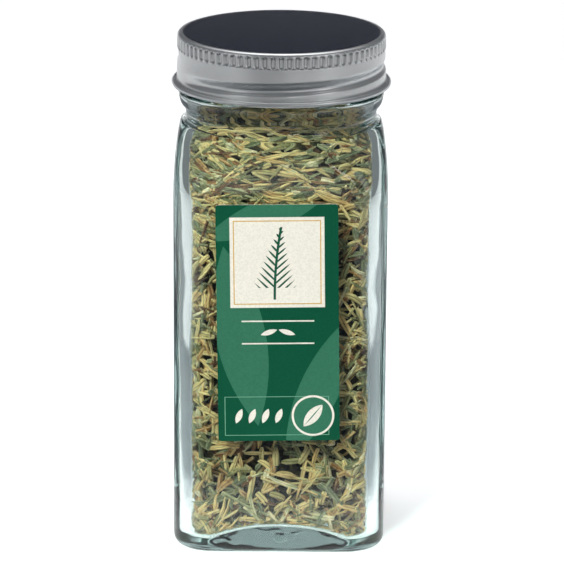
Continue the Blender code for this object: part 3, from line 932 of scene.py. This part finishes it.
liner = Finish("faced_board", Roughness=0.55)
liner_spot = liner.position().scaled(1 / MM)
rim_mark = within(liner_spot.from_z_axis(), 18.8, 1.0, 0.3)
liner_fibre = liner.noise(liner_spot, 4.0, 4.0)
liner.set("Base Color", liner.mix(liner_fibre * 0.3 + rim_mark * 0.25, tint("f2f1ec"), tint("cfcabc")))
liner.bump(liner_fibre * 0.3 - rim_mark, 0.05 * MM, 0.6)
dress_node("lid_liner", liner)


# ---------------------------------------------------------------- lid
# A cap drawn from bare tinned sheet, 0.4 mm thick. Tools press flutes for grip round its shoulder and roll
# one turn of thread into its wall, so both show inside as well. The cut edge is curled outwards into a hem.

lid_low, lid_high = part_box("lid")
LID_TOP_Z = lid_high.z
HEM_R = lid_high.x
LID_WALL = 0.4 * MM
LID_R = 21.95 * MM
# The rolled thread's height at the left, and where it starts and ends in turns.
ROLL_Z_AT_LEFT, ROLL_FROM, ROLL_TO = 100.1 * MM, 196 / 360, 556 / 360
LID_EDGE_R = 0.85 * MM
FLUTE_R = 22.05 * MM
FLUTES, COLUMNS_PER_FLUTE = 80, 10
FLUTE_TOP_Z, FLUTE_FOOT_Z = LID_TOP_Z - 0.55 * MM, LID_TOP_Z - 3.35 * MM
HEM_WIRE_R = 0.6 * MM
HEM_Z = lid_low.z + HEM_WIRE_R


def lid_outline():
    """Radius and height down the outside of the lid, round its hem and up the inside."""
    points = [(r * MM, LID_TOP_Z) for r in (0.5, 6, 12, 17, 20.3)]
    for degrees in range(90, -1, -10):
        turn = math.radians(degrees)
        reach = FLUTE_R - LID_EDGE_R + LID_EDGE_R * math.cos(turn)
        points.append((reach, LID_TOP_Z - LID_EDGE_R + LID_EDGE_R * math.sin(turn)))
    wall_top, wall_foot = FLUTE_FOOT_Z - 0.1 * MM, HEM_Z + 1.0 * MM
    points += [(FLUTE_R, z) for z in np.linspace(LID_TOP_Z - 1.05 * MM, FLUTE_FOOT_Z + 0.3 * MM, 9)]
    points += [(FLUTE_R - 0.03 * MM, FLUTE_FOOT_Z + 0.15 * MM), (FLUTE_R - 0.12 * MM, FLUTE_FOOT_Z)]
    points += [(LID_R, z) for z in np.linspace(wall_top, wall_foot, 30)]
    points += [(LID_R + 0.03 * MM, HEM_Z + 0.8 * MM), (LID_R + 0.14 * MM, HEM_Z + 0.62 * MM)]
    for degrees in range(120, -221, -20):
        turn = math.radians(degrees)
        reach = HEM_R - HEM_WIRE_R + HEM_WIRE_R * math.cos(turn)
        points.append((reach, HEM_Z + HEM_WIRE_R * math.sin(turn)))
    inner = LID_R - LID_WALL
    points += [(inner + 0.1 * MM, HEM_Z + 0.5 * MM)]
    points += [(inner, z) for z in np.linspace(HEM_Z + 0.8 * MM, LID_TOP_Z - 1.1 * MM, 18)]
    points += [(inner - 0.25 * MM, LID_TOP_Z - LID_WALL - 0.2 * MM), (inner - 0.6 * MM, LID_TOP_Z - LID_WALL)]
    return points + [(r * MM, LID_TOP_Z - LID_WALL) for r in (19, 14, 9, 4, 0.5)]


nodes, given = modifier_tree("press_lid", {
    "Flutes": "Float", "Flute Depth": "Float", "Flute Top": "Float", "Flute Foot": "Float", "Lead": "Float",
    "Thread Z at Left": "Float", "Thread Depth": "Float", "Thread From": "Float", "Thread To": "Float",
    "Thread Sink": "Float", "Wall Radius": "Float", "Wall Foot": "Float", "Foot Flare": "Float",
})
at = nodes.add("GeometryNodeInputPosition", {}, {})
height = at.axis("Z")
turn = at.axis("Y").math("ARCTAN2", at.axis("X")) / math.tau
outwards = (at * (1.0, 1.0, 0.0)).math("NORMALIZE")
reach = at.from_z_axis()
on_wall = reach.smooth(given["Wall Radius"] - 1.3 * MM, given["Wall Radius"] - 0.8 * MM)
wave = (turn * math.tau * given["Flutes"]).math("COSINE") * 0.5 + 0.5
end_lift = (1 - wave) * 0.5 * MM
foot, top = given["Flute Foot"] + end_lift, given["Flute Top"] - end_lift
in_band = height.smooth(foot, foot + 0.35 * MM) * height.smooth(top, top - 0.45 * MM)
inwards = wave.smooth(0.12, 0.85) * in_band * given["Flute Depth"]
threads = []
for whole_turns in (1, 2):
    along = turn + whole_turns
    sunk = along.smooth(given["Thread From"], given["Thread From"] + given["Thread Sink"])
    sunk = sunk * along.smooth(given["Thread To"], given["Thread To"] - given["Thread Sink"])
    offset = height - given["Thread Z at Left"] - (along - 0.5) * given["Lead"]
    rolled = offset.smooth(2.0 * MM, 0.1 * MM) * offset.smooth(-0.95 * MM, -0.15 * MM)
    threads.append(rolled * sunk)
thread = threads[0].math("MAXIMUM", threads[1])
below_flutes = height.smooth(given["Flute Foot"] + 0.1 * MM, given["Flute Foot"] - 0.3 * MM)
above_hem = height.smooth(given["Wall Foot"] - 0.3 * MM, given["Wall Foot"] + 0.2 * MM)
flare = height.smooth(given["Flute Foot"], given["Wall Foot"]) * given["Foot Flare"]
inwards = inwards + thread * given["Thread Depth"] * below_flutes - flare
offset = outwards.scaled(inwards * on_wall * above_hem * -1.0)
pressed = nodes.add("GeometryNodeSetPosition", {}, {"Geometry": given["Geometry"], "Offset": offset})
finish_tree(nodes, pressed)
press_lid = nodes.tree

columns = FLUTES * COLUMNS_PER_FLUTE
turns = [(math.cos(i / columns * math.tau), math.sin(i / columns * math.tau)) for i in range(columns)]
blank = lathe("lid_blank", [[Vector((r * cos, r * sin, z)) for cos, sin in turns] for r, z in lid_outline()])
lid_shell = grown("lid_shell", press_lid, blank, {
    "Flutes": float(FLUTES), "Flute Depth": 0.62 * MM, "Flute Top": FLUTE_TOP_Z, "Flute Foot": FLUTE_FOOT_Z,
    "Lead": LEAD, "Thread Z at Left": ROLL_Z_AT_LEFT, "Thread Depth": 0.62 * MM, "Thread From": ROLL_FROM,
    "Thread To": ROLL_TO, "Thread Sink": 0.09, "Wall Radius": LID_R, "Wall Foot": HEM_Z + 0.75 * MM,
    "Foot Flare": 0.22 * MM,
})
lid_shell.shade_smooth()

tin = Finish("tinned_sheet", Metallic=1.0)
tin_spot = tin.position().scaled(1 / MM)
tin_height = tin_spot.axis("Z")
tin_reach = tin_spot.from_z_axis()
on_top = tin_reach.smooth(21.2, 20.6)
stretched = tin.add("ShaderNodeCombineXYZ", {}, {"X": tin_height * 9.0, "Y": tin_reach * 9.0})
drawn_lines = tin.noise(stretched, 1.0, 3.0)
cloud = tin.noise(tin_spot, 0.35, 3.0)
grain = tin.noise(tin_spot, 14.0, 2.0)
tin.set("Base Color", tin.mix(cloud * 0.5 + grain * 0.3, tint("bfc1c2"), tint("d3d4d3")))
tin.set("Roughness", (0.26 + cloud * 0.08 + drawn_lines * 0.08) * (1 - on_top * 0.6))
tin.bump((drawn_lines + grain * 0.3) * (1 - on_top), 0.01 * MM, 0.8)
piece("lid_shell", lid_shell, tin, "lid", "lid_metal", "lid")
